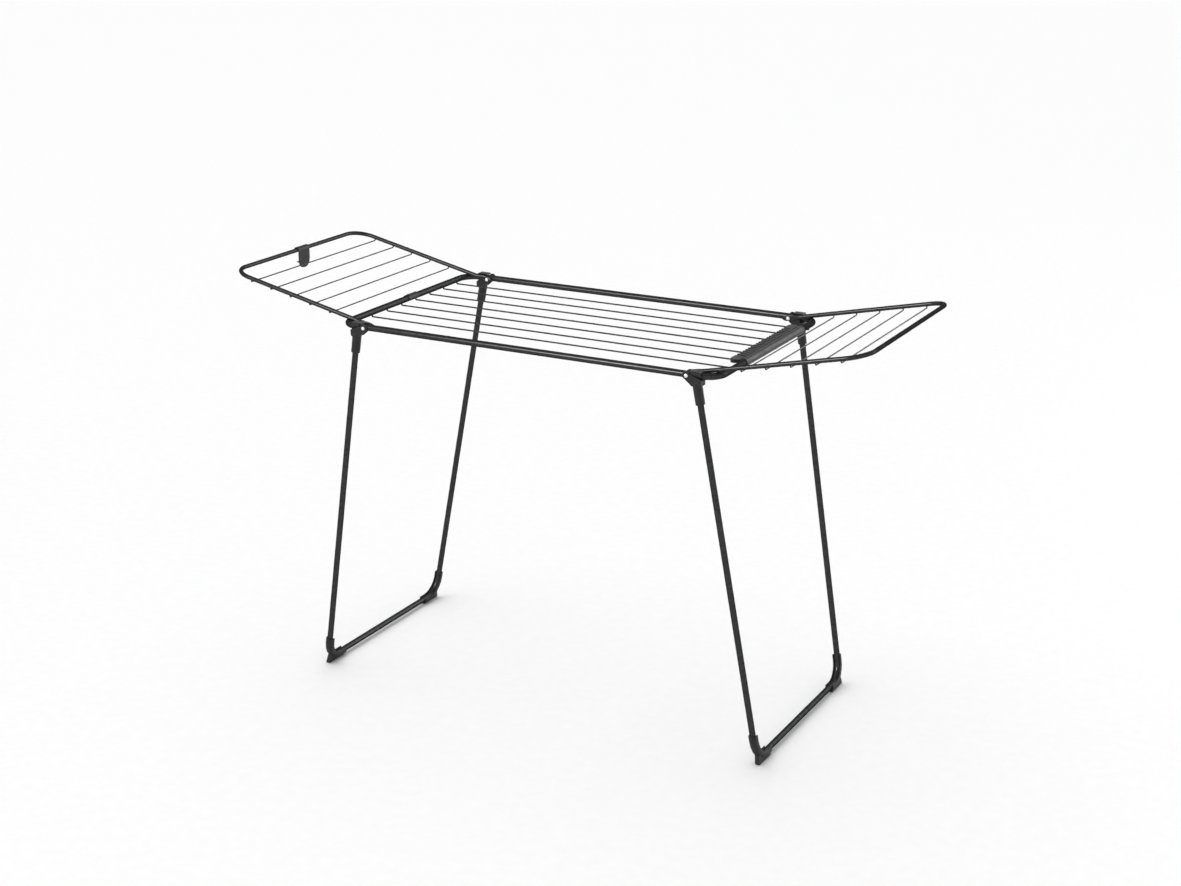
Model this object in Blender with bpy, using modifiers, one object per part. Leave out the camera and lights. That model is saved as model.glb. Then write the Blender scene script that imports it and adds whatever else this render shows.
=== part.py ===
"""Free-standing folding clothes airer with two wings, in metres, +Z up.

The long side runs along X and the depth along Y. The origin is on the floor, under the middle
of the frame. Left is -X, right is +X, front is -Y and rear is +Y.
"""
import math

import bmesh
import bpy
from mathutils import Matrix, Vector

# Centre frame: one tube bent into a rounded rectangle
RAIL_Z = 0.8825
RAIL_Y = 0.2755
CROSSBAR_X = 0.4745
RAIL_RADIUS = 0.0075
RAIL_BEND = 0.040

# Drying wires, with their ends turned up into the tubes above them
WIRE_RADIUS = 0.0015
CENTRE_WIRE_RADIUS = 0.0018
WIRE_BEND = 0.0025
WIRE_DROP = 0.0032
CENTRE_WIRES = 7
CENTRE_WIRE_PITCH = 0.0625
CENTRE_WIRE_MIDDLE_Y = 0.035
WING_WIRES = 5
WING_WIRE_PITCH = 0.0565

# Wings: a U-shaped tube each, hinged on the rivets and resting on the crossbar
PIVOT_X = 0.408
WING_LENGTH = 0.3965
WING_ARM_Y = 0.258
WING_RADIUS = 0.005
WING_BEND = 0.048
WING_ANGLE = math.radians(12.4)
ARM_FLAT_HALF_THICKNESS = 0.0015
ARM_FLAT_HALF_HEIGHT = 0.0066
ARM_TIP_LENGTH = 0.014
ARM_FLAT_LENGTH = 0.008
ARM_ROUND_FROM = 0.030

# Legs: a U-shaped tube each, spread outwards and narrower at the floor
LEG_RADIUS = 0.007
LEG_TOP_X = PIVOT_X + 0.0195
LEG_TOP_Y = 0.2793
FOOT_BAR_X = 0.5752
FOOT_BAR_Y = 0.2464
FOOT_BAR_Z = 0.0125
LEG_BEND = 0.047
LEG_TUBE_TOP_DROP = 0.0185

# Rivets, spacers and the plastic pieces round each pivot (outwards in Y from the rail's axis)
CLEARANCE = 0.0003
RIVET_RADIUS = 0.0025
RIVET_HEAD_RADIUS = 0.0046
RIVET_HEAD_HEIGHT = 0.0020
CHEEK_INNER = 0.0080
OUTER_CHEEK_FACE = 0.0120
INNER_CHEEK_FACE = 0.0110
EAR_RADIUS = 0.0092
KNUCKLE_SLEEVE_LENGTH = 0.062
SPACER_RADIUS = 0.0060
SADDLE_START = 0.0052
SADDLE_LENGTH = 0.0280
SADDLE_TOP = 0.0110

# Corner shoes: a channel round the bend with a foot block under it
SHOE_WALL = 0.0028
SHOE_UP_LEG = 0.059
SHOE_ALONG_BAR = 0.065
SHOE_BLOCK_LENGTH = 0.062
SHOE_BLOCK_HALF_WIDTH = 0.0052
SHOE_TOE = -0.0005
SHOE_LIP = 0.0055
SHOE_POCKET_LENGTH = 0.010
SHOE_POCKET_FLOOR = 0.0022
SHOE_POCKET_HALF_WIDTH = 0.0032

# Comb for coat hangers on the right crossbar
COMB_MIDDLE_Y = 0.0175
COMB_SLOTS = 19
COMB_SLOT_PITCH = 0.0142
COMB_SLOT_WIDTH = 0.0066
COMB_SLOT_DEPTH = 0.0205
COMB_END_LENGTH = 0.0370
COMB_REACH = 0.0315
COMB_PLATE_TOP = 0.0075
COMB_PLATE_BOTTOM = -0.0005
COMB_COVER_LENGTH = 0.316
COMB_NOSE_RADIUS = 0.012
COMB_TOOTH_BEVEL = 0.0012

# Snap-on covers on the crossbars
COVER_GAP = 0.0003
COVER_WALL = 0.0016
CLIP_LENGTH = 0.044
CLIP_MIDDLE_Y = 0.0150
CLIP_NOTCH_HALF_WIDTH = 0.006

# Latch that hangs on the left wing's outer bar and hooks the right one when both are folded
LATCH_Y = 0.0155
LATCH_WIDTH = 0.044
LATCH_WALL = 0.0025
LATCH_LENGTH = 0.046
LATCH_HOOK_AT = 2 * (PIVOT_X - WING_LENGTH) + WING_RADIUS + 0.0005
LATCH_HOOK_THICKNESS = 0.0028
LATCH_HOOK_REACH = 0.0065
LATCH_TIP_HALF_WIDTH = 0.003
LATCH_TIP_HEIGHT = 0.019

TUBE_SIDES = 12
BORE_FACTOR = 1 / math.cos(math.pi / TUBE_SIDES)
WIRE_SIDES = 8
BEND_STEPS = 6

MATERIALS = {
    "black_coated_steel": ((0.030, 0.030, 0.032), 0.42, 0.0),
    "black_coated_wire": ((0.022, 0.022, 0.023), 0.45, 0.0),
    "black_plastic": ((0.036, 0.036, 0.037), 0.60, 0.0),
    "zinc_steel": ((0.62, 0.62, 0.61), 0.28, 1.0),
}

SIDES = {"left": -1, "right": 1}
FACES = {"front": -1, "rear": 1}


def clear_scene():
    for obj in list(bpy.data.objects):
        bpy.data.objects.remove(obj, do_unlink=True)
    for group in list(bpy.data.collections):
        bpy.data.collections.remove(group)


def new_collection(name):
    group = bpy.data.collections.new(name)
    bpy.context.scene.collection.children.link(group)
    return group


def make_material(slot):
    """A material of its own for one object, coloured by its slot."""
    colour, roughness, metallic = MATERIALS[slot]
    material = bpy.data.materials.new(slot)
    material.use_nodes = True
    shader = material.node_tree.nodes["Principled BSDF"]
    shader.inputs["Base Color"].default_value = (*colour, 1.0)
    shader.inputs["Roughness"].default_value = roughness
    shader.inputs["Metallic"].default_value = metallic
    return material


def filleted(points, radius, steps, cyclic=False):
    """The polyline with each corner turned into an arc of the given radius."""
    count = len(points)
    path = []
    for i, point in enumerate(points):
        if not cyclic and i in (0, count - 1):
            path.append(point.copy())
            continue
        before = (points[i - 1] - point).normalized()
        after = (points[(i + 1) % count] - point).normalized()
        half_angle = before.angle(after) / 2
        centre = point + (before + after).normalized() * radius / math.sin(half_angle)
        start = point + before * radius / math.tan(half_angle) - centre
        turn = math.pi - 2 * half_angle
        axis = before.cross(after)
        for k in range(steps + 1):
            path.append(centre + Matrix.Rotation(-turn * k / steps, 3, axis) @ start)
    return path


def tube_curve(name, path, radius, sides, group, cyclic=False):
    """A round bar along a polyline, as a curve object with capped ends."""
    curve = bpy.data.curves.new(name, "CURVE")
    curve.dimensions = "3D"
    curve.bevel_depth = radius
    curve.bevel_resolution = sides // 2 - 2
    curve.use_fill_caps = not cyclic
    spline = curve.splines.new("POLY")
    spline.points.add(len(path) - 1)
    for point, place in zip(spline.points, path):
        point.co = (*place, 1.0)
    spline.use_cyclic_u = cyclic
    spline.use_smooth = True
    obj = bpy.data.objects.new(name, curve)
    group.objects.link(obj)
    return obj


def face_outwards(shape):
    """Turn every face of a closed mesh outwards."""
    bmesh.ops.recalc_face_normals(shape, faces=shape.faces)
    if shape.calc_volume(signed=True) < 0:
        bmesh.ops.reverse_faces(shape, faces=shape.faces)


def sweep(name, path, normal, section, group):
    """Sweep a section along a path in one plane; its first axis is that plane's normal."""
    shape = bmesh.new()
    rings = []
    last = len(path) - 1
    for i, place in enumerate(path):
        tangent = path[min(i + 1, last)] - path[max(i - 1, 0)]
        across = normal.cross(tangent).normalized()
        rings.append([shape.verts.new(place + normal * a + across * b) for a, b in section])
    count = len(section)
    for first, second in zip(rings, rings[1:]):
        for k in range(count):
            shape.faces.new((first[k], first[(k + 1) % count], second[(k + 1) % count], second[k]))
    shape.faces.new(rings[0])
    shape.faces.new(rings[-1])
    face_outwards(shape)
    mesh = bpy.data.meshes.new(name)
    shape.to_mesh(mesh)
    shape.free()
    obj = bpy.data.objects.new(name, mesh)
    group.objects.link(obj)
    return obj


def as_mesh(obj, group):
    """Replace a curve object by a closed mesh object of the same name and place."""
    bpy.context.view_layer.update()
    name = obj.name
    place = obj.matrix_world.copy()
    evaluated = obj.evaluated_get(bpy.context.evaluated_depsgraph_get())
    mesh = bpy.data.meshes.new_from_object(evaluated)
    bpy.data.objects.remove(obj, do_unlink=True)
    shape = bmesh.new()
    shape.from_mesh(mesh)
    bmesh.ops.remove_doubles(shape, verts=shape.verts, dist=1e-6)
    face_outwards(shape)
    shape.to_mesh(mesh)
    shape.free()
    result = bpy.data.objects.new(name, mesh)
    result.matrix_world = place
    group.objects.link(result)
    return result


def slab(name, outline, low, high, place, group):
    """A flat outline in its own XY plane, filled and extruded from low to high along its Z."""
    curve = bpy.data.curves.new(name, "CURVE")
    curve.dimensions = "2D"
    curve.fill_mode = "BOTH"
    curve.extrude = (high - low) / 2
    spline = curve.splines.new("POLY")
    spline.points.add(len(outline) - 1)
    for point, (a, b) in zip(spline.points, outline):
        point.co = (a, b, 0.0, 1.0)
    spline.use_cyclic_u = True
    obj = bpy.data.objects.new(name, curve)
    obj.matrix_world = place @ Matrix.Translation((0, 0, (low + high) / 2))
    group.objects.link(obj)
    return as_mesh(obj, group)


def cylinder(name, radius, start, end, sides, group):
    """A cylinder between two points."""
    axis = end - start
    shape = bmesh.new()
    bmesh.ops.create_cone(shape, cap_ends=True, segments=sides, radius1=radius,
                          radius2=radius, depth=axis.length)
    mesh = bpy.data.meshes.new(name)
    shape.to_mesh(mesh)
    shape.free()
    obj = bpy.data.objects.new(name, mesh)
    turn = axis.to_track_quat("Z", "Y").to_matrix().to_4x4()
    obj.matrix_world = Matrix.Translation((start + end) / 2) @ turn
    group.objects.link(obj)
    return obj


def combine(obj, other, operation):
    """Apply a Boolean with another mesh object and remove that other object."""
    modifier = obj.modifiers.new("combine", "BOOLEAN")
    modifier.operation = operation
    modifier.solver = "EXACT"
    modifier.object = other
    bpy.context.view_layer.update()
    evaluated = obj.evaluated_get(bpy.context.evaluated_depsgraph_get())
    mesh = bpy.data.meshes.new_from_object(evaluated)
    obj.modifiers.clear()
    obj.data = mesh
    bpy.data.objects.remove(other, do_unlink=True)


def finish(obj, slot, pivot=None, smooth=True):
    """Give an object its material, its shading and, if it moves, an origin on its joint's axis."""
    obj.data.materials.clear()
    obj.data.materials.append(make_material(slot))
    if obj.type == "MESH":
        shape = bmesh.new()
        shape.from_mesh(obj.data)
        bmesh.ops.remove_doubles(shape, verts=shape.verts, dist=2e-6)
        bmesh.ops.dissolve_degenerate(shape, edges=shape.edges, dist=2e-6)
        shape.transform(obj.matrix_world)
        face_outwards(shape)
        if pivot is not None:
            shape.transform(Matrix.Translation(-pivot))
        shape.to_mesh(obj.data)
        shape.free()
        obj.matrix_world = Matrix.Translation(pivot if pivot is not None else Vector())
        if smooth:
            obj.data.shade_smooth()
            obj.data.set_sharp_from_angle(angle=math.radians(35))
    elif pivot is not None:
        for point in obj.data.splines[0].points:
            point.co = (*(Vector(point.co[:3]) - pivot), 1.0)
        obj.location = pivot


def arc(centre, radius, start, end, steps):
    """Points on a circle from one angle to another, in degrees."""
    angles = [math.radians(start + (end - start) * k / steps) for k in range(steps + 1)]
    return [(centre[0] + radius * math.cos(a), centre[1] + radius * math.sin(a)) for a in angles]


def pivot_point(side, face=0):
    return Vector((side * PIVOT_X, face * RAIL_Y, RAIL_Z))


def outward_frame(side, face):
    """Axes at a pivot: X outboard, Y up and Z outwards from the rail, away from the middle."""
    columns = Matrix(((side, 0, 0), (0, 0, face), (0, 1, 0))).to_4x4()
    return Matrix.Translation(pivot_point(side, face)) @ columns


def build_centre_frame(group, cutters):
    corners = [Vector((x, y, RAIL_Z)) for x, y in (
        (-CROSSBAR_X, -RAIL_Y), (CROSSBAR_X, -RAIL_Y), (CROSSBAR_X, RAIL_Y), (-CROSSBAR_X, RAIL_Y))]
    path = filleted(corners, RAIL_BEND, BEND_STEPS, cyclic=True)
    frame = as_mesh(tube_curve("centre_frame", path, RAIL_RADIUS, TUBE_SIDES, group, True), group)
    reach = Vector((0, 2 * RAIL_RADIUS, 0))
    for side in SIDES.values():
        for face in FACES.values():
            pivot = pivot_point(side, face)
            hole = cylinder("rivet_hole", RIVET_RADIUS + CLEARANCE, pivot - reach, pivot + reach,
                            12, cutters)
            combine(frame, hole, "DIFFERENCE")
    finish(frame, "black_coated_steel")


def build_wire(name, start, end, up, tube_radius, wire_radius, group):
    """A wire under two tubes at start and end, with its tips turned up towards them."""
    lift = up * (tube_radius + CLEARANCE)
    drop = up * (tube_radius + CLEARANCE + WIRE_DROP)
    points = [start - lift, start - drop, end - drop, end - lift]
    path = filleted(points, WIRE_BEND, 3)
    ring = arc((0, 0), wire_radius, 0, 360, WIRE_SIDES)[:-1]
    return sweep(name, path, (end - start).cross(up).normalized(), ring, group)


def build_centre_wires(group):
    up = Vector((0, 0, 1))
    for i in range(CENTRE_WIRES):
        y = CENTRE_WIRE_MIDDLE_Y + (i - (CENTRE_WIRES - 1) / 2) * CENTRE_WIRE_PITCH
        start = Vector((-CROSSBAR_X, y, RAIL_Z))
        end = Vector((CROSSBAR_X, y, RAIL_Z))
        wire = build_wire(f"centre_wire_{i + 1}", start, end, up, RAIL_RADIUS,
                          CENTRE_WIRE_RADIUS, group)
        finish(wire, "black_coated_wire")


def wing_axes(side):
    """Unit vectors along a wing's arms, away from the pivot, and square to its plane, upwards."""
    along = Vector((side * math.cos(WING_ANGLE), 0, math.sin(WING_ANGLE)))
    up = Vector((-side * math.sin(WING_ANGLE), 0, math.cos(WING_ANGLE)))
    return along, up


def arm_section(distance):
    """Half thickness and half height of a wing's arm at a distance outboard of its pivot."""
    if distance < 0:
        shrink = math.sqrt(max(1 - (distance / ARM_TIP_LENGTH) ** 2, 0.01))
        return ARM_FLAT_HALF_THICKNESS, ARM_FLAT_HALF_HEIGHT * shrink
    blend = (distance - ARM_FLAT_LENGTH) / (ARM_ROUND_FROM - ARM_FLAT_LENGTH)
    blend = min(max(blend, 0.0), 1.0)
    blend = blend * blend * (3 - 2 * blend)
    thickness = ARM_FLAT_HALF_THICKNESS + (WING_RADIUS - ARM_FLAT_HALF_THICKNESS) * blend
    height = ARM_FLAT_HALF_HEIGHT + (WING_RADIUS - ARM_FLAT_HALF_HEIGHT) * blend
    return thickness, height


def build_wing_frame(name, side, group, cutters):
    along, up = wing_axes(side)
    stations = [-0.995 * ARM_TIP_LENGTH, -0.93 * ARM_TIP_LENGTH, -0.75 * ARM_TIP_LENGTH,
                -0.4 * ARM_TIP_LENGTH, 0.0]
    taper = ARM_ROUND_FROM - ARM_FLAT_LENGTH
    stations += [ARM_FLAT_LENGTH + taper * k / 4 for k in range(5)]
    pivots = [pivot_point(side) + Vector((0, face * WING_ARM_Y, 0)) for face in (-1, 1)]
    bends = filleted([pivots[0], pivots[0] + along * WING_LENGTH, pivots[1] + along * WING_LENGTH,
                      pivots[1]], WING_BEND, BEND_STEPS)
    path = [pivots[0] + along * d for d in stations] + bends[1:-1]
    path += [pivots[1] + along * d for d in reversed(stations)]
    frame = as_mesh(tube_curve(name, path, WING_RADIUS, TUBE_SIDES, group), group)
    for vertex in frame.data.vertices:
        offset = vertex.co - pivot_point(side)
        distance = offset.dot(along)
        if distance < ARM_ROUND_FROM:
            thickness, height = arm_section(distance)
            middle = math.copysign(WING_ARM_Y, offset.y)
            across = middle + (offset.y - middle) * thickness / WING_RADIUS
            rise = offset.dot(up) * height / WING_RADIUS
            vertex.co = pivot_point(side) + along * distance + up * rise + Vector((0, across, 0))
    for pivot in pivots:
        reach = Vector((0, 2 * WING_RADIUS, 0))
        hole = cylinder("rivet_hole", RIVET_RADIUS + CLEARANCE, pivot - reach, pivot + reach,
                        12, cutters)
        combine(frame, hole, "DIFFERENCE")
    finish(frame, "black_coated_steel", pivot_point(side))


def build_wing_wires(prefix, side, group):
    along, up = wing_axes(side)
    for i in range(WING_WIRES):
        distance = WING_LENGTH - WING_WIRE_PITCH * (WING_WIRES - i)
        middle = pivot_point(side) + along * distance
        reach = Vector((0, WING_ARM_Y, 0))
        wire = build_wire(f"{prefix}_wing_wire_{i + 1}", middle - reach, middle + reach, up,
                          WING_RADIUS, WIRE_RADIUS, group)
        finish(wire, "black_coated_wire", pivot_point(side))


def leg_points(side, face):
    """The leg's axis where it meets the rail's height, and its ideal corner at the foot bar."""
    top = Vector((side * LEG_TOP_X, face * LEG_TOP_Y, RAIL_Z))
    corner = Vector((side * FOOT_BAR_X, face * FOOT_BAR_Y, FOOT_BAR_Z))
    return top, corner


def on_leg(side, face, drop):
    """The point of a leg's axis at a depth below the rail."""
    top, corner = leg_points(side, face)
    return top + (corner - top) * drop / (top.z - corner.z)


def build_leg_frame(name, side, group):
    ends = [on_leg(side, face, LEG_TUBE_TOP_DROP) for face in (-1, 1)]
    corners = [leg_points(side, face)[1] for face in (-1, 1)]
    path = filleted([ends[0], corners[0], corners[1], ends[1]], LEG_BEND, BEND_STEPS)
    leg = tube_curve(name, path, LEG_RADIUS, TUBE_SIDES, group)
    finish(leg, "black_coated_steel", pivot_point(side))


def cheek_outline():
    """The side view of a knuckle's cheeks: a round ear, a foot over the socket and a lobe."""
    ear = arc((0, 0), EAR_RADIUS, 22, 255, 10)
    foot = [(0.0125, -0.0215), (0.0300, -0.0240), (0.0345, -0.0205)]
    lobe = arc((0.0292, -0.0100), 0.0060, -20, 80, 4)
    return ear + foot + lobe


def build_knuckle(name, side, face, group, cutters):
    place = outward_frame(side, face)
    knuckle = slab(name, cheek_outline(), -INNER_CHEEK_FACE, OUTER_CHEEK_FACE, place, group)
    sleeve_top = on_leg(side, face, 0.0150)
    sleeve_end = on_leg(side, face, KNUCKLE_SLEEVE_LENGTH)
    sleeve = cylinder("sleeve", 1.0, sleeve_top, sleeve_end, 20, cutters)
    for vertex in sleeve.data.vertices:
        radius = 0.0104 if vertex.co.z > 0 else 0.0108
        vertex.co.x *= radius
        vertex.co.y *= radius
    combine(knuckle, sleeve, "UNION")
    slot = slab("rail_slot", [(-0.03, -CHEEK_INNER), (0.06, -CHEEK_INNER), (0.06, 0.03),
                              (-0.03, 0.03)], -CHEEK_INNER, CHEEK_INNER, place, cutters)
    combine(knuckle, slot, "DIFFERENCE")
    relief = slab("fold_relief", [(-0.03, -0.030), (0.0128, -0.030), (0.0086, 0.01), (-0.03, 0.01)],
                  -CHEEK_INNER, CHEEK_INNER, place, cutters)
    combine(knuckle, relief, "DIFFERENCE")
    bend_room = slab("bend_room", [(0.026, -0.0095), (0.06, -0.0095), (0.06, 0.03), (0.026, 0.03)],
                     -0.03, -0.5 * CHEEK_INNER, place, cutters)
    combine(knuckle, bend_room, "DIFFERENCE")
    socket_top = on_leg(side, face, LEG_TUBE_TOP_DROP - CLEARANCE)
    socket = cylinder("socket", (LEG_RADIUS + CLEARANCE) * BORE_FACTOR, socket_top,
                      on_leg(side, face, KNUCKLE_SLEEVE_LENGTH + 0.01), TUBE_SIDES, cutters)
    combine(knuckle, socket, "DIFFERENCE")
    pivot = pivot_point(side, face)
    reach = Vector((0, 0.02, 0))
    hole = cylinder("rivet_hole", RIVET_RADIUS + CLEARANCE, pivot - reach, pivot + reach, 12,
                    cutters)
    combine(knuckle, hole, "DIFFERENCE")
    finish(knuckle, "black_plastic", pivot_point(side))


def build_saddle(name, side, face, group):
    place = outward_frame(side, face)
    end = SADDLE_START + SADDLE_LENGTH
    top = [(SADDLE_START, 0.0080), (end, 0.0080), (end - 0.0015, SADDLE_TOP),
           (SADDLE_START + 0.0020, SADDLE_TOP)]
    saddle = slab(name, top, -0.0070, OUTER_CHEEK_FACE, place, group)
    wall = [(0.0105, 0.0040), (end + 0.0025, -0.0010), (end, 0.0090), (0.0105, 0.0090)]
    outer = slab("saddle_wall", wall, CHEEK_INNER + CLEARANCE, OUTER_CHEEK_FACE, place, group)
    combine(saddle, outer, "UNION")
    finish(saddle, "black_plastic")


def turned(name, profile, steps, place, group):
    """A profile of (radius, height) points turned about the local Z axis."""
    mesh = bpy.data.meshes.new(name)
    edges = [(i, i + 1) for i in range(len(profile) - 1)]
    mesh.from_pydata([(r, 0, h) for r, h in profile], edges, [])
    obj = bpy.data.objects.new(name, mesh)
    obj.matrix_world = place
    group.objects.link(obj)
    screw = obj.modifiers.new("turn", "SCREW")
    screw.steps = steps
    screw.render_steps = steps
    screw.use_merge_vertices = True
    screw.merge_threshold = 1e-6
    screw.use_smooth_shade = True
    return as_mesh(obj, group)


def build_rivet(name, side, face, group):
    """A rivet through the knuckle, the rail, the spacer and the wing's arm."""
    outer = OUTER_CHEEK_FACE + CLEARANCE
    inner = -(RAIL_Y - WING_ARM_Y + ARM_FLAT_HALF_THICKNESS + CLEARANCE)
    dome = 0.0028
    profile = [(0.0, outer + RIVET_HEAD_HEIGHT), (dome, outer + 0.8 * RIVET_HEAD_HEIGHT),
               (RIVET_HEAD_RADIUS, outer + 0.25 * RIVET_HEAD_HEIGHT), (RIVET_HEAD_RADIUS, outer),
               (RIVET_RADIUS, outer), (RIVET_RADIUS, inner), (RIVET_HEAD_RADIUS, inner),
               (RIVET_HEAD_RADIUS, inner - 0.25 * RIVET_HEAD_HEIGHT),
               (dome, inner - 0.8 * RIVET_HEAD_HEIGHT), (0.0, inner - RIVET_HEAD_HEIGHT)]
    rivet = turned(name, profile, 14, outward_frame(side, face), group)
    finish(rivet, "zinc_steel")


def build_spacer(name, side, face, group):
    """A ring between the knuckle's inner cheek and the wing's arm."""
    near = -(INNER_CHEEK_FACE + CLEARANCE)
    far = -(RAIL_Y - WING_ARM_Y - ARM_FLAT_HALF_THICKNESS - CLEARANCE)
    bore = RIVET_RADIUS + CLEARANCE
    profile = [(bore, near), (SPACER_RADIUS, near), (SPACER_RADIUS, far), (bore, far), (bore, near)]
    spacer = turned(name, profile, 16, outward_frame(side, face), group)
    finish(spacer, "black_plastic")


def build_shoe(name, side, face, group, cutters):
    top, corner = leg_points(side, face)
    up_leg = (top - corner).normalized()
    along_bar = Vector((0, -face, 0))
    path = filleted([corner + up_leg * SHOE_UP_LEG, corner, corner + along_bar * SHOE_ALONG_BAR],
                    LEG_BEND, BEND_STEPS)
    shoe = sweep(name, path, along_bar.cross(up_leg).normalized(), shoe_section(), group)
    block = foot_block(side, face, cutters)
    combine(shoe, block, "UNION")
    long_path = filleted([corner + up_leg * 2 * SHOE_UP_LEG, corner,
                          corner + along_bar * 2 * SHOE_ALONG_BAR], LEG_BEND, BEND_STEPS)
    bore = (LEG_RADIUS + CLEARANCE) * BORE_FACTOR
    tube = as_mesh(tube_curve("tube_cut", long_path, bore, TUBE_SIDES, cutters), cutters)
    combine(shoe, tube, "DIFFERENCE")
    finish(shoe, "black_plastic", pivot_point(side))


def shoe_section():
    """The U section round the leg's tube, its open side along its second axis."""
    inner = LEG_RADIUS + CLEARANCE
    outer = inner + SHOE_WALL
    section = [(inner, SHOE_LIP), (outer, SHOE_LIP)] + arc((0, 0), outer, 0, -180, 7)
    return section + [(-outer, SHOE_LIP), (-inner, SHOE_LIP)] + arc((0, 0), inner, -180, 0, 7)


def foot_block(side, face, cutters):
    """The block under the bend that stands on the floor, as a side view extruded along X."""
    corner = leg_points(side, face)[1]
    profile = [(SHOE_TOE + 0.0015, 0.0), (SHOE_BLOCK_LENGTH, 0.0),
               (SHOE_BLOCK_LENGTH + 0.002, 0.0060), (0.046, FOOT_BAR_Z), (0.028, 0.018),
               (0.014, 0.027), (SHOE_TOE + 0.0062, 0.026), (SHOE_TOE, 0.0025)]
    columns = Matrix(((0, 0, 1), (-face, 0, 0), (0, 1, 0))).to_4x4()
    place = Matrix.Translation((corner.x, corner.y, 0)) @ columns
    lean = (LEG_TOP_X - FOOT_BAR_X) / (RAIL_Z - FOOT_BAR_Z) * side
    block = slab("foot_block", profile, -SHOE_BLOCK_HALF_WIDTH, SHOE_BLOCK_HALF_WIDTH, place,
                 cutters)
    for vertex in block.data.vertices:
        vertex.co.z += lean * (vertex.co.y - FOOT_BAR_Z)
    deep = SHOE_BLOCK_LENGTH - SHOE_POCKET_LENGTH
    beyond = SHOE_BLOCK_LENGTH + 0.02
    opening = [(deep, SHOE_POCKET_FLOOR), (beyond, SHOE_POCKET_FLOOR), (beyond, 0.02), (deep, 0.02)]
    pocket = slab("pocket", opening, -SHOE_POCKET_HALF_WIDTH, SHOE_POCKET_HALF_WIDTH, place,
                  cutters)
    combine(block, pocket, "DIFFERENCE")
    return block


def crossbar_frame(side, y):
    """Axes on a crossbar: X towards the middle of the airer, Y up, Z along the crossbar."""
    columns = Matrix(((-side, 0, 0), (0, 0, side), (0, 1, 0))).to_4x4()
    return Matrix.Translation((side * CROSSBAR_X, y, RAIL_Z)) @ columns


def cover_section(start, end):
    """An open ring round the crossbar between two angles, measured from its inner side."""
    inner = RAIL_RADIUS + COVER_GAP
    return arc((0, 0), inner + COVER_WALL, start, end, 12) + arc((0, 0), inner, end, start, 12)


def build_comb(group, cutters):
    place = crossbar_frame(1, COMB_MIDDLE_Y)
    half = COMB_COVER_LENGTH / 2
    comb = slab("hanger_comb", cover_section(8, 238), -half, half, place, group)
    slots_from = -(COMB_SLOTS - 1) / 2 * COMB_SLOT_PITCH
    end = (COMB_SLOTS - 1) / 2 * COMB_SLOT_PITCH + COMB_SLOT_WIDTH / 2 + COMB_END_LENGTH
    root = RAIL_RADIUS + COVER_GAP + 0.0007
    nose = COMB_NOSE_RADIUS
    notch_floor = COMB_REACH - COMB_SLOT_DEPTH
    outline = [(root, -end + nose / 2)]
    outline += arc((COMB_REACH - nose, -end + nose), nose, -90, 0, 4)
    for i in range(COMB_SLOTS):
        middle = slots_from + i * COMB_SLOT_PITCH
        low = middle - COMB_SLOT_WIDTH / 2
        high = middle + COMB_SLOT_WIDTH / 2
        outline += [(COMB_REACH, low - COMB_TOOTH_BEVEL), (COMB_REACH - COMB_TOOTH_BEVEL, low),
                    (notch_floor + 0.002, low), (notch_floor, middle), (notch_floor + 0.002, high),
                    (COMB_REACH - COMB_TOOTH_BEVEL, high), (COMB_REACH, high + COMB_TOOTH_BEVEL)]
    outline += arc((COMB_REACH - nose, end - nose), nose, 0, 90, 4)
    outline += [(root, end - nose / 2)]
    flat = Matrix.Translation((CROSSBAR_X, COMB_MIDDLE_Y, RAIL_Z)) @ Matrix.Rotation(math.pi, 4, "Y")
    plate = slab("comb_plate", outline, -COMB_PLATE_TOP, -COMB_PLATE_BOTTOM, flat, cutters)
    combine(comb, plate, "UNION")
    finish(comb, "black_plastic")


def build_clip(group, cutters):
    half = CLIP_LENGTH / 2
    place = crossbar_frame(-1, CLIP_MIDDLE_Y)
    clip = slab("transport_clip", cover_section(-18, 206), -half, half, place, group)
    width = CLIP_NOTCH_HALF_WIDTH
    outline = [(-width, 0.0), (width, 0.0), (width, 0.02), (-width, 0.02)]
    notch = slab("clip_notch", outline, half - width, half + 0.01, place, cutters)
    combine(clip, notch, "DIFFERENCE")
    finish(clip, "black_plastic")


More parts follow.
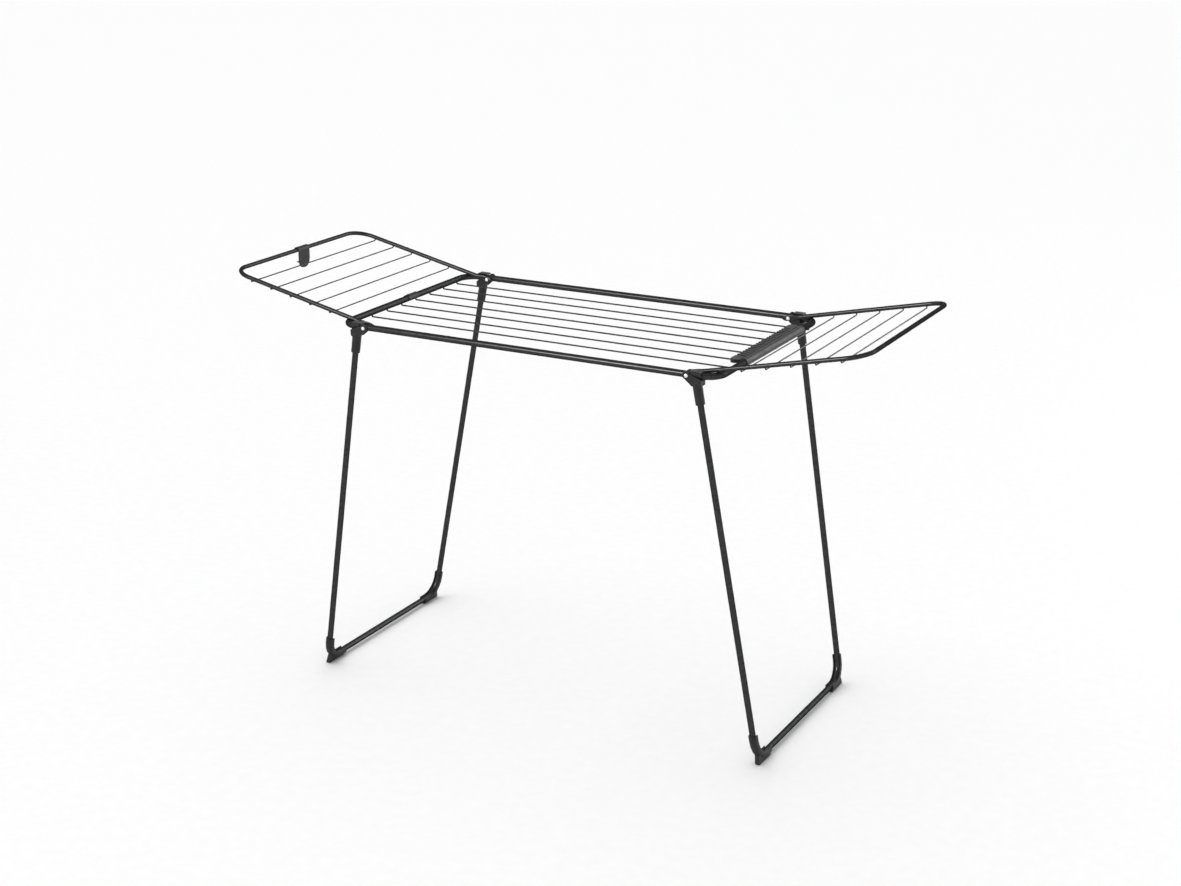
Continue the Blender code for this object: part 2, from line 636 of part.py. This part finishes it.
def build_latch(group, cutters):
    """A clip round the left wing's outer bar with a hanging plate, a hook and a finger tip."""
    along = wing_axes(-1)[0]
    axis = pivot_point(-1) + along * WING_LENGTH
    inner = WING_RADIUS + CLEARANCE
    outer = inner + LATCH_WALL
    hook_end = LATCH_HOOK_AT + LATCH_HOOK_THICKNESS
    profile = [(outer, -LATCH_LENGTH), (outer, 0.0)]
    profile += arc((0, 0), outer, 0, 215, 12)[1:]
    profile += arc((0, 0), inner, 215, 0, 12)
    profile += [(inner, -LATCH_HOOK_AT), (inner - LATCH_HOOK_REACH, -LATCH_HOOK_AT),
                (inner - LATCH_HOOK_REACH, -LATCH_HOOK_AT - 0.5 * LATCH_HOOK_THICKNESS),
                (inner, -hook_end), (inner, -LATCH_LENGTH)]
    half = LATCH_WIDTH / 2
    columns = Matrix(((1, 0, 0), (0, 0, -1), (0, 1, 0))).to_4x4()
    place = Matrix.Translation(axis + Vector((0, LATCH_Y, 0))) @ columns
    latch = slab("wing_latch", profile, -half, half, place, group)
    side_view = Matrix(((0, 0, 1), (1, 0, 0), (0, 1, 0))).to_4x4()
    cut_place = Matrix.Translation(axis + Vector((0, LATCH_Y, 0))) @ side_view
    tip = LATCH_TIP_HALF_WIDTH
    beyond = half + 0.01
    below = -LATCH_LENGTH - 0.01
    for sign in (-1, 1):
        corner = [(sign * beyond, below), (sign * tip, below), (sign * tip, -LATCH_LENGTH)]
        for k in range(1, 4):
            angle = math.radians(30 * k)
            corner.append((sign * (tip + (half - tip) * math.sin(angle)),
                           -LATCH_LENGTH + LATCH_TIP_HEIGHT * (1 - math.cos(angle))))
        corner.append((sign * beyond, -LATCH_LENGTH + LATCH_TIP_HEIGHT))
        cut = slab("tip_cut", corner, 0.0, 0.02, cut_place, cutters)
        combine(latch, cut, "DIFFERENCE")
    finish(latch, "black_plastic", axis)


def build():
    clear_scene()
    airer = new_collection("clothes_airer")
    cutters = new_collection("cutters")
    build_centre_frame(airer, cutters)
    build_centre_wires(airer)
    build_comb(airer, cutters)
    build_clip(airer, cutters)
    for side_name, side in SIDES.items():
        build_wing_frame(f"{side_name}_wing_frame", side, airer, cutters)
        build_wing_wires(side_name, side, airer)
        build_leg_frame(f"{side_name}_leg_frame", side, airer)
        for face_name, face in FACES.items():
            corner_name = f"{face_name}_{side_name}"
            build_knuckle(f"{corner_name}_leg_knuckle", side, face, airer, cutters)
            build_saddle(f"{corner_name}_rail_saddle", side, face, airer)
            build_spacer(f"{corner_name}_pivot_spacer", side, face, airer)
            build_rivet(f"{corner_name}_pivot_rivet", side, face, airer)
            build_shoe(f"{corner_name}_corner_shoe", side, face, airer, cutters)
    build_latch(airer, cutters)


build()
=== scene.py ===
"""Looks of the folding clothes airer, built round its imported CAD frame."""

import math

import bmesh
import bpy
from mathutils import Matrix, Vector


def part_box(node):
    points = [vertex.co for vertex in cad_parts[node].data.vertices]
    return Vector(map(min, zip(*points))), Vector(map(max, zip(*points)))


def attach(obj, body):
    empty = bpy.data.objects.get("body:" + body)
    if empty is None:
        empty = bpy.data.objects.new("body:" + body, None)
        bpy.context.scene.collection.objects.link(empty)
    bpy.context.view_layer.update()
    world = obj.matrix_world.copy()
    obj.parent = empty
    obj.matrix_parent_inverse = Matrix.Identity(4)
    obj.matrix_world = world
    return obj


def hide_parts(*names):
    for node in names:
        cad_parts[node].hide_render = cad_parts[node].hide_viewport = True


# Sizes in metres, the same as the CAD part's.
RAIL_Z = 0.8825
RAIL_Y = 0.2755
CROSSBAR_X = 0.4745
RAIL_RADIUS = 0.0075
RAIL_BEND = 0.040
WIRE_RADIUS = 0.0015
CENTRE_WIRE_RADIUS = 0.0018
WIRE_BEND = 0.0025
WIRE_DROP = 0.0032
CENTRE_WIRES = 7
CENTRE_WIRE_PITCH = 0.0625
CENTRE_WIRE_MIDDLE_Y = 0.035
WING_WIRES = 5
WING_WIRE_PITCH = 0.0565
PIVOT_X = 0.408
WING_LENGTH = 0.3965
WING_ARM_Y = 0.258
WING_RADIUS = 0.005
WING_BEND = 0.048
WING_ANGLE = math.radians(12.4)
ARM_FLAT_HALF_THICKNESS = 0.0015
ARM_FLAT_HALF_HEIGHT = 0.0066
ARM_TIP_LENGTH = 0.014
ARM_FLAT_LENGTH = 0.008
ARM_ROUND_FROM = 0.030
LEG_RADIUS = 0.007
LEG_TOP_X = PIVOT_X + 0.0195
LEG_TOP_Y = 0.2793
FOOT_BAR_X = 0.5752
FOOT_BAR_Y = 0.2464
FOOT_BAR_Z = 0.0125
LEG_BEND = 0.047
LEG_TUBE_TOP_DROP = 0.0185

# Each wire's tip goes a little way into its tube and flares into a weld bead.
WIRE_TO_TUBE_GAP = 0.0003
BEAD_SINK = 0.0006
BEAD_STATIONS = (0.0, 0.35, 0.6, 0.8)
BEAD_FLARE = (1.7, 1.45, 1.15, 1.03)

# One rivet head, from its dimpled middle to the shank: (radius, depth below the head's top).
RIVET_HEAD = ((0.0001, 0.0), (0.0012, 0.0), (0.0016, 0.00025), (0.0022, 0.0001),
              (0.0031, 0.0004), (0.0039, 0.0009), (0.0044, 0.0015), (0.0046, 0.0020),
              (0.0025, 0.0020))

# How finely each kind of piece is meshed.
TUBE_SIDES = 40
WIRE_SIDES = 14
RIVET_SIDES = 40
BEND_STEPS = 18
WIRE_BEND_STEPS = 6
ARM_TIP_STEP_DEGREES = 8
ARM_TAPER_STEPS = 10
MOULDING_VOXEL = 0.0005
MOULDING_SMOOTH_ROUNDS = 3
CORNER_MOULDING_SHARE = 0.5
CLIP_MOULDING_SHARE = 0.4
SHARP_EDGE = math.radians(40)

# Noise sizes in cycles per metre, and the part of the noise's range that is used.
COLOUR_PATCH_SCALE = 38.0
GLOSS_PATCH_SCALE = 90.0
NOISE_LOW = 0.3
NOISE_HIGH = 0.7

# The room's light fades overhead. Its heights run from -1, straight down, to 1, straight up.
SKY_FADE_FROM = 0.35
SKY_FADE_TO = 0.65
SKY_LOW_STRENGTH = 1.0
SKY_HIGH_STRENGTH = 0.25
SUN_STRENGTH = 2.4
SUN_SPREAD = math.radians(75)
SUN_TILT = (math.radians(-12), math.radians(-22), 0)
# The area lamps: name, place, size in metres and power in watts. Both point at LAMP_AIM.
LAMPS = (("key_box", (-1.6, -3.9, 3.0), (1.2, 1.2), 240.0),
         ("back_box", (3.4, 4.6, 2.4), (5.0, 4.0), 270.0))
LAMP_AIM = Vector((0, 0, 0.7))
FLOOR_HALF_SIZE = 60.0

CAMERA_PLACE = (2.1632, -3.9620, 2.0575)
CAMERA_BACK = (0.45148, -0.83692, 0.30940)
CAMERA_SENSOR_MM = 36.0
CAMERA_LENS_MM = 61.57
CAMERA_CLIP_END = 200.0

SIDES = {"left": -1, "right": 1}
FACES = {"front": -1, "rear": 1}

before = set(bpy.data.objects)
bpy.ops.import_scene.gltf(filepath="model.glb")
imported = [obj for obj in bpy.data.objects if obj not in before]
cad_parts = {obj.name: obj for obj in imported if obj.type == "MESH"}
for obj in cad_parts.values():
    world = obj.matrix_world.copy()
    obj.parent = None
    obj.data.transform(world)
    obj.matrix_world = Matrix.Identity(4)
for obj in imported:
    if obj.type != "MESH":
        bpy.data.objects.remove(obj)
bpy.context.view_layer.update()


def add_noise(nodes, links, coordinates, scale, detail, roughness=0.5):
    noise = nodes.new("ShaderNodeTexNoise")
    noise.inputs["Scale"].default_value = scale
    noise.inputs["Detail"].default_value = detail
    noise.inputs["Roughness"].default_value = roughness
    links.new(coordinates, noise.inputs["Vector"])
    return noise.outputs["Fac"]


def remapped(nodes, links, value, low, high):
    """A noise value's used range stretched to run from low to high."""
    span = nodes.new("ShaderNodeMapRange")
    span.inputs["From Min"].default_value = NOISE_LOW
    span.inputs["From Max"].default_value = NOISE_HIGH
    span.inputs["To Min"].default_value = low
    span.inputs["To Max"].default_value = high
    links.new(value, span.inputs["Value"])
    return span.outputs["Result"]


def surface(name, dark, light, roughness, grain_scale, grain_depth, metallic=0.0, specular=0.5,
            edge=1.0):
    """A material whose colour, gloss and fine relief vary over the surface.

    An edge value under 1 darkens a metallic surface's reflection at a grazing angle.
    """
    material = bpy.data.materials.new(name)
    material.use_nodes = True
    nodes = material.node_tree.nodes
    links = material.node_tree.links
    shader = nodes["Principled BSDF"]
    shader.inputs["Metallic"].default_value = metallic
    shader.inputs["Specular IOR Level"].default_value = specular
    shader.inputs["Specular Tint"].default_value = (edge, edge, edge, 1.0)
    place = nodes.new("ShaderNodeTexCoord").outputs["Object"]
    patches = add_noise(nodes, links, place, COLOUR_PATCH_SCALE, 4.0)
    ramp = nodes.new("ShaderNodeValToRGB")
    ramp.color_ramp.elements[0].position = NOISE_LOW
    ramp.color_ramp.elements[1].position = NOISE_HIGH
    ramp.color_ramp.elements[0].color = (*dark, 1.0)
    ramp.color_ramp.elements[1].color = (*light, 1.0)
    links.new(patches, ramp.inputs["Fac"])
    links.new(ramp.outputs["Color"], shader.inputs["Base Color"])
    handled = add_noise(nodes, links, place, GLOSS_PATCH_SCALE, 3.0)
    gloss = remapped(nodes, links, handled, roughness[0], roughness[1])
    links.new(gloss, shader.inputs["Roughness"])
    grain = add_noise(nodes, links, place, grain_scale, 3.0, 0.6)
    bump = nodes.new("ShaderNodeBump")
    bump.inputs["Strength"].default_value = 1.0
    bump.inputs["Distance"].default_value = grain_depth
    links.new(grain, bump.inputs["Height"])
    links.new(bump.outputs["Normal"], shader.inputs["Normal"])
    return material


MATERIALS = {
    "black_coated_steel": surface("coated_steel", (0.040, 0.040, 0.041), (0.048, 0.048, 0.049),
                                  (0.25, 0.32), 1500.0, 0.00003, metallic=0.5, specular=0.0,
                                  edge=0.12),
    "black_coated_wire": surface("coated_wire", (0.009, 0.009, 0.0095), (0.013, 0.013, 0.0135),
                                 (0.40, 0.50), 2200.0, 0.00003, specular=0.25),
    "black_plastic": surface("moulded_plastic", (0.017, 0.017, 0.017), (0.026, 0.026, 0.026),
                             (0.42, 0.54), 2600.0, 0.00010, specular=0.2),
    "zinc_steel": surface("zinc_plate", (0.74, 0.74, 0.73), (0.86, 0.86, 0.85),
                          (0.24, 0.36), 1800.0, 0.00002, metallic=1.0),
}


def filleted(points, radius, steps, cyclic=False):
    """The polyline with each corner turned into an arc of the given radius."""
    count = len(points)
    path = []
    for i, point in enumerate(points):
        if not cyclic and i in (0, count - 1):
            path.append(point.copy())
            continue
        before = (points[i - 1] - point).normalized()
        after = (points[(i + 1) % count] - point).normalized()
        half_angle = before.angle(after) / 2
        centre = point + (before + after).normalized() * radius / math.sin(half_angle)
        start = point + before * radius / math.tan(half_angle) - centre
        turn = math.pi - 2 * half_angle
        axis = before.cross(after)
        for k in range(steps + 1):
            path.append(centre + Matrix.Rotation(-turn * k / steps, 3, axis) @ start)
    return path


def new_object(name, shape):
    """A smooth-shaded object from a bmesh, which is used up."""
    bmesh.ops.recalc_face_normals(shape, faces=shape.faces)
    if shape.calc_volume(signed=True) < 0:
        bmesh.ops.reverse_faces(shape, faces=shape.faces)
    mesh = bpy.data.meshes.new(name)
    shape.to_mesh(mesh)
    shape.free()
    piece = bpy.data.objects.new(name, mesh)
    bpy.context.scene.collection.objects.link(piece)
    mesh.shade_smooth()
    mesh.set_sharp_from_angle(angle=SHARP_EDGE)
    return piece


def sweep(name, path, normal, section, sides, closed=False):
    """Sweep an oval along a path in a plane; section gives half width and half height there."""
    shape = bmesh.new()
    rings = []
    last = len(path) - 1
    for i, place in enumerate(path):
        if closed:
            tangent = path[(i + 1) % len(path)] - path[i - 1]
        else:
            tangent = path[min(i + 1, last)] - path[max(i - 1, 0)]
        across = normal.cross(tangent).normalized()
        wide, high = section(i)
        ring = []
        for k in range(sides):
            angle = 2 * math.pi * k / sides
            offset = across * wide * math.cos(angle) + normal * high * math.sin(angle)
            ring.append(shape.verts.new(place + offset))
        rings.append(ring)
    pairs = list(zip(rings, rings[1:]))
    if closed:
        pairs.append((rings[-1], rings[0]))
    for first, second in pairs:
        for k in range(sides):
            n = (k + 1) % sides
            shape.faces.new((first[k], first[n], second[n], second[k]))
    if not closed:
        shape.faces.new(rings[0])
        shape.faces.new(rings[-1])
    return new_object(name, shape)


def dress(piece, body, slot, *nodes):
    """Give a piece its material and its body, and hide the CAD nodes it stands for."""
    piece.data.materials.clear()
    piece.data.materials.append(MATERIALS[slot])
    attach(piece, body)
    if nodes:
        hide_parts(*nodes)


def pivot_point(side, face=0):
    return Vector((side * PIVOT_X, face * RAIL_Y, RAIL_Z))


def make_centre_frame():
    corners = [Vector((x, y, RAIL_Z)) for x, y in (
        (-CROSSBAR_X, -RAIL_Y), (CROSSBAR_X, -RAIL_Y), (CROSSBAR_X, RAIL_Y), (-CROSSBAR_X, RAIL_Y))]
    path = filleted(corners, RAIL_BEND, BEND_STEPS, cyclic=True)
    round_tube = (RAIL_RADIUS, RAIL_RADIUS)
    tube = sweep("centre_tube", path, Vector((0, 0, 1)), lambda i: round_tube, TUBE_SIDES, True)
    dress(tube, "centre", "black_coated_steel", "centre_frame")


def make_wire(name, body, node, start, end, up, tube_radius, radius):
    """A wire under two tubes, its tips turned up and welded to them with a flared bead."""
    lift = up * (tube_radius - BEAD_SINK)
    drop = up * (tube_radius + WIRE_TO_TUBE_GAP + WIRE_DROP)
    points = [start - lift, start - drop, end - drop, end - lift]
    path = filleted(points, WIRE_BEND, WIRE_BEND_STEPS)
    first_bead = [path[0] + (path[1] - path[0]) * t for t in BEAD_STATIONS]
    last_bead = [path[-1] + (path[-2] - path[-1]) * t for t in reversed(BEAD_STATIONS)]
    path = first_bead + path[1:-1] + last_bead
    flare = [widening * radius for widening in BEAD_FLARE]
    radii = flare + [radius] * (len(path) - 2 * len(flare)) + flare[::-1]
    normal = (end - start).cross(up).normalized()
    wire = sweep(name, path, normal, lambda i: (radii[i], radii[i]), WIRE_SIDES)
    dress(wire, body, "black_coated_wire", node)


def make_centre_wires():
    up = Vector((0, 0, 1))
    for i in range(CENTRE_WIRES):
        y = CENTRE_WIRE_MIDDLE_Y + (i - (CENTRE_WIRES - 1) / 2) * CENTRE_WIRE_PITCH
        start = Vector((-CROSSBAR_X, y, RAIL_Z))
        end = Vector((CROSSBAR_X, y, RAIL_Z))
        make_wire(f"line_{i + 1}", "centre", f"centre_wire_{i + 1}", start, end, up, RAIL_RADIUS,
                  CENTRE_WIRE_RADIUS)


def wing_axes(side):
    """The directions along a raised wing's arms and square to the wing, both from its pivot."""
    along = Vector((side * math.cos(WING_ANGLE), 0, math.sin(WING_ANGLE)))
    up = Vector((-side * math.sin(WING_ANGLE), 0, math.cos(WING_ANGLE)))
    return along, up


def arm_section(distance):
    """Half thickness and half height of a wing's arm at a distance outboard of its pivot."""
    if distance < 0:
        shrink = math.sqrt(max(1 - (distance / ARM_TIP_LENGTH) ** 2, 0.0016))
        return ARM_FLAT_HALF_THICKNESS, ARM_FLAT_HALF_HEIGHT * shrink
    blend = (distance - ARM_FLAT_LENGTH) / (ARM_ROUND_FROM - ARM_FLAT_LENGTH)
    blend = min(max(blend, 0.0), 1.0)
    blend = blend * blend * (3 - 2 * blend)
    thickness = ARM_FLAT_HALF_THICKNESS + (WING_RADIUS - ARM_FLAT_HALF_THICKNESS) * blend
    height = ARM_FLAT_HALF_HEIGHT + (WING_RADIUS - ARM_FLAT_HALF_HEIGHT) * blend
    return thickness, height


def make_wing(side_name, side):
    along, up = wing_axes(side)
    body = f"{side_name}_wing"
    stations = [-ARM_TIP_LENGTH * math.sin(math.radians(angle))
                for angle in range(88, -1, -ARM_TIP_STEP_DEGREES)]
    taper = ARM_ROUND_FROM - ARM_FLAT_LENGTH
    stations += [ARM_FLAT_LENGTH + taper * k / ARM_TAPER_STEPS
                 for k in range(ARM_TAPER_STEPS + 1)]
    pivots = [pivot_point(side) + Vector((0, face * WING_ARM_Y, 0)) for face in (-1, 1)]
    bends = filleted([pivots[0], pivots[0] + along * WING_LENGTH, pivots[1] + along * WING_LENGTH,
                      pivots[1]], WING_BEND, BEND_STEPS)
    path = [pivots[0] + along * d for d in stations] + bends[1:-1]
    path += [pivots[1] + along * d for d in reversed(stations)]
    sections = [arm_section((place - pivot_point(side)).dot(along)) for place in path]
    tube = sweep(f"{side_name}_wing_tube", path, up, lambda i: sections[i], TUBE_SIDES)
    dress(tube, body, "black_coated_steel", f"{side_name}_wing_frame")
    for i in range(WING_WIRES):
        distance = WING_LENGTH - WING_WIRE_PITCH * (WING_WIRES - i)
        middle = pivot_point(side) + along * distance
        reach = Vector((0, WING_ARM_Y, 0))
        make_wire(f"{side_name}_line_{i + 1}", body, f"{side_name}_wing_wire_{i + 1}",
                  middle - reach, middle + reach, up, WING_RADIUS, WIRE_RADIUS)


def leg_points(side, face):
    """The leg's axis where it meets the rail's height, and its ideal corner at the foot bar."""
    top = Vector((side * LEG_TOP_X, face * LEG_TOP_Y, RAIL_Z))
    corner = Vector((side * FOOT_BAR_X, face * FOOT_BAR_Y, FOOT_BAR_Z))
    return top, corner


def make_leg(side_name, side):
    ends = []
    for face in (-1, 1):
        top, corner = leg_points(side, face)
        ends.append(top + (corner - top) * LEG_TUBE_TOP_DROP / (top.z - corner.z))
    corners = [leg_points(side, face)[1] for face in (-1, 1)]
    path = filleted([ends[0], corners[0], corners[1], ends[1]], LEG_BEND, BEND_STEPS)
    normal = (ends[0] - corners[0]).cross(Vector((0, 1, 0))).normalized()
    round_tube = (LEG_RADIUS, LEG_RADIUS)
    tube = sweep(f"{side_name}_leg_tube", path, normal, lambda i: round_tube, TUBE_SIDES)
    dress(tube, f"{side_name}_leg", "black_coated_steel", f"{side_name}_leg_frame")


def refined(node, name, share):
    """A copy of a CAD node with its edges rounded as a moulding's are, thinned to a share."""
    shape = bmesh.new()
    shape.from_mesh(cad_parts[node].data)
    bmesh.ops.remove_doubles(shape, verts=shape.verts, dist=1e-6)
    piece = new_object(name, shape)
    remesh = piece.modifiers.new("remesh", "REMESH")
    remesh.mode = "VOXEL"
    remesh.voxel_size = MOULDING_VOXEL
    remesh.use_smooth_shade = True
    smooth = piece.modifiers.new("smooth", "SMOOTH")
    smooth.factor = 0.5
    smooth.iterations = MOULDING_SMOOTH_ROUNDS
    thin = piece.modifiers.new("thin", "DECIMATE")
    thin.ratio = share
    bpy.context.view_layer.update()
    evaluated = piece.evaluated_get(bpy.context.evaluated_depsgraph_get())
    mesh = bpy.data.meshes.new_from_object(evaluated)
    piece.modifiers.clear()
    piece.data = mesh
    mesh.shade_smooth()
    return piece


def turned(name, profile, centre, face):
    """A solid turned about a line along Y; the profile is (radius, distance outwards)."""
    shape = bmesh.new()
    rings = []
    for radius, out in profile:
        ring = []
        for k in range(RIVET_SIDES):
            angle = 2 * math.pi * k / RIVET_SIDES
            offset = Vector((radius * math.cos(angle), face * out, radius * math.sin(angle)))
            ring.append(shape.verts.new(centre + offset))
        rings.append(ring)
    for first, second in zip(rings, rings[1:]):
        for k in range(RIVET_SIDES):
            n = (k + 1) % RIVET_SIDES
            shape.faces.new((first[k], first[n], second[n], second[k]))
    shape.faces.new(rings[0])
    shape.faces.new(rings[-1])
    return new_object(name, shape)


def make_fittings():
    """The plastic mouldings: four at each corner, and the comb, the clip and the latch."""
    for side_name in SIDES:
        for face_name in FACES:
            leg = f"{side_name}_leg"
            for body, kind in ((leg, "leg_knuckle"), ("centre", "rail_saddle"),
                               (leg, "corner_shoe"), ("centre", "pivot_spacer")):
                node = f"{face_name}_{side_name}_{kind}"
                piece = refined(node, f"{node}_moulding", CORNER_MOULDING_SHARE)
                dress(piece, body, "black_plastic", node)
    for node, body in (("hanger_comb", "centre"), ("transport_clip", "centre"),
                       ("wing_latch", "latch")):
        piece = refined(node, f"{node}_moulding", CLIP_MOULDING_SHARE)
        dress(piece, body, "black_plastic", node)


def make_rivets():
    for side_name, side in SIDES.items():
        for face_name, face in FACES.items():
            node = f"{face_name}_{side_name}_pivot_rivet"
            low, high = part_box(node)
            inner_end, outer_end = sorted(face * (y - face * RAIL_Y) for y in (low.y, high.y))
            outer = [(radius, outer_end - depth) for radius, depth in RIVET_HEAD]
            inner = [(radius, inner_end + depth) for radius, depth in RIVET_HEAD]
            profile = outer + inner[::-1]
            rivet = turned(f"{node}_turned", profile, pivot_point(side, face), face)
            dress(rivet, "centre", "zinc_steel", node)


def make_stage():
    shape = bmesh.new()
    bmesh.ops.create_grid(shape, x_segments=2, y_segments=2, size=FLOOR_HALF_SIZE)
    floor = new_object("floor", shape)
    floor.data.materials.append(surface("floor_paint", (0.86, 0.86, 0.86), (0.88, 0.88, 0.88),
                                        (0.7, 0.8), 300.0, 0.0001, specular=0.2))


def make_room():
    """White light from all round, weaker overhead than near the horizon."""
    world = bpy.data.worlds.new("studio")
    bpy.context.scene.world = world
    world.use_nodes = True
    nodes = world.node_tree.nodes
    links = world.node_tree.links
    height = nodes.new("ShaderNodeSeparateXYZ")
    links.new(nodes.new("ShaderNodeTexCoord").outputs["Generated"], height.inputs["Vector"])
    fade = nodes.new("ShaderNodeMapRange")
    fade.inputs["From Min"].default_value = SKY_FADE_FROM
    fade.inputs["From Max"].default_value = SKY_FADE_TO
    fade.inputs["To Min"].default_value = SKY_LOW_STRENGTH
    fade.inputs["To Max"].default_value = SKY_HIGH_STRENGTH
    links.new(height.outputs["Z"], fade.inputs["Value"])
    links.new(fade.outputs["Result"], nodes["Background"].inputs["Strength"])
    nodes["Background"].inputs["Color"].default_value = (1.0, 1.0, 1.0, 1.0)


def make_lights():
    """A wide sun that lights and shades the floor, and two lamps seen only as reflections."""
    sun = bpy.data.lights.new("soft_sun", "SUN")
    sun.energy = SUN_STRENGTH
    sun.angle = SUN_SPREAD
    lamp = bpy.data.objects.new("soft_sun", sun)
    lamp.rotation_euler = SUN_TILT
    lamp.visible_glossy = False
    bpy.context.scene.collection.objects.link(lamp)
    for name, place, size, power in LAMPS:
        light = bpy.data.lights.new(name, "AREA")
        light.shape = "RECTANGLE"
        light.size, light.size_y = size
        light.energy = power
        box = bpy.data.objects.new(name, light)
        box.location = place
        aim = LAMP_AIM - Vector(place)
        box.rotation_euler = aim.to_track_quat("-Z", "Y").to_euler()
        box.visible_diffuse = False
        bpy.context.scene.collection.objects.link(box)
    bpy.context.scene.view_settings.view_transform = "Standard"


def make_camera():
    """A level camera; its back direction points from the airer towards it."""
    camera = bpy.data.cameras.new("camera")
    camera.sensor_fit = "HORIZONTAL"
    camera.sensor_width = CAMERA_SENSOR_MM
    camera.lens = CAMERA_LENS_MM
    camera.clip_end = CAMERA_CLIP_END
    holder = bpy.data.objects.new("camera", camera)
    back = Vector(CAMERA_BACK).normalized()
    right = Vector((0, 0, 1)).cross(back).normalized()
    up = back.cross(right)
    turn = Matrix((right, up, back)).transposed().to_4x4()
    holder.matrix_world = Matrix.Translation(CAMERA_PLACE) @ turn
    bpy.context.scene.collection.objects.link(holder)
    bpy.context.scene.camera = holder


make_camera()
make_centre_frame()
make_centre_wires()
for side_name, side in SIDES.items():
    make_wing(side_name, side)
    make_leg(side_name, side)
make_fittings()
make_rivets()
make_stage()
make_room()
make_lights()
